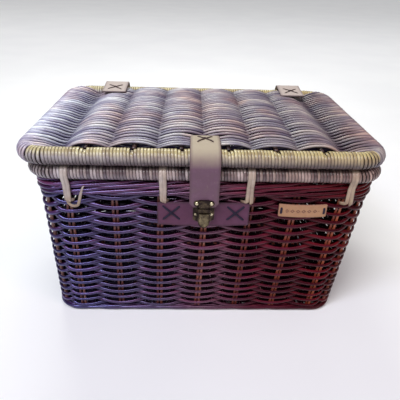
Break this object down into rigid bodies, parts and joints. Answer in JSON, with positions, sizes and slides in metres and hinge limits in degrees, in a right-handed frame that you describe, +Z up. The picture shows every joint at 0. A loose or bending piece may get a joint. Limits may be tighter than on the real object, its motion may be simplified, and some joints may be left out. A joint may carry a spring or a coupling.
{
  "type": "lidded wicker picnic basket",
  "caption": "Rectangular woven willow basket with a hinged woven lid, cane-wrapped rim, and a leather strap that closes over the front with a push-button brass clasp.",
  "frame": {"origin": "centre of the bounding box in plan, on the plane that the basket's foot rests on", "axes": "+X along the long side, to the right when the clasp is faced; -Y the front with the clasp; +Z up"},
  "size_m": [0.4744, 0.3322, 0.2737],
  "materials": {
    "dark_willow": "glossy dark plum brown stained willow",
    "stake_willow": "red brown stained willow",
    "rim_cane": "grey tan split cane binding",
    "lid_cane": "straw split cane binding",
    "lid_willow": "dusty mauve brown stained willow, satin",
    "tie_cane": "straw tan split cane",
    "thread": "dark waxed cord",
    "strap_leather": "mauve tan leather, matt",
    "patch_leather": "mauve brown leather, matt",
    "label_leather": "light tan leather",
    "dark_brass": "antique brass, darkened",
    "bright_brass": "antique brass, rubbed bright"
  },
  "bodies": {
    "basket": {"base_stick_1": "stake_willow", "base_stick_2": "stake_willow", "base_stick_3": "stake_willow", "base_stick_4": "stake_willow", "base_weave": "dark_willow", "foot_border": "dark_willow", "front_patch": "patch_leather", "hinge_leather_lower_left": "strap_leather", "hinge_leather_lower_right": "strap_leather", "hinge_stitch_lower_left": "thread", "hinge_stitch_lower_right": "thread", "label": "label_leather", "label_stitch_left": "thread", "label_stitch_right": "thread", "patch_stitch_left": "thread", "patch_stitch_right": "thread", "rim_core": "stake_willow", "rim_tie_back_1": "tie_cane", "rim_tie_back_2": "tie_cane", "rim_tie_back_3": "tie_cane", "rim_tie_front_1": "tie_cane", "rim_tie_front_2": "tie_cane", "rim_tie_front_3": "tie_cane", "rim_tie_front_4": "tie_cane", "rim_tie_left": "tie_cane", "rim_tie_right": "tie_cane", "rim_wrap": "rim_cane", "side_weave": "dark_willow", "stakes_back": "stake_willow", "stakes_front": "stake_willow", "stakes_left": "stake_willow", "stakes_right": "stake_willow", "striker": "dark_brass", "striker_rivet_left": "bright_brass", "striker_rivet_right": "bright_brass", "top_band": "dark_willow"},
    "lid": {"hinge_leather_upper_left": "strap_leather", "hinge_leather_upper_right": "strap_leather", "hinge_stitch_upper_left": "thread", "hinge_stitch_upper_right": "thread", "lid_frame": "stake_willow", "lid_rib_1": "stake_willow", "lid_rib_2": "stake_willow", "lid_rib_3": "stake_willow", "lid_rib_4": "stake_willow", "lid_rib_5": "stake_willow", "lid_rib_6": "stake_willow", "lid_weave": "lid_willow", "lid_wrap_back": "lid_cane", "lid_wrap_front": "lid_cane", "strap_stitch": "thread", "strap_top": "strap_leather"},
    "strap": {"clasp_case": "dark_brass", "clasp_rivet_left": "bright_brass", "clasp_rivet_right": "bright_brass", "strap_drop": "strap_leather"},
    "button": {"clasp_button": "bright_brass"}
  },
  "joints": [
    {"name": "lid_hinge", "type": "hinge", "parent": "basket", "child": "lid", "pos_m": [0, 0.1661, 0.2432], "axis": [-1, 0, 0], "range_deg": [0, 110]},
    {"name": "strap_swing", "type": "hinge", "parent": "lid", "child": "strap", "pos_m": [0, -0.1617, 0.25435], "axis": [-1, 0, 0], "range_deg": [0, 110]},
    {"name": "clasp_button_press", "type": "slide", "parent": "strap", "child": "button", "axis": [0, 0, -1], "range_m": [0, 0.004], "stiffness_N_per_m": 400, "springref_m": -0.002}
  ]
}
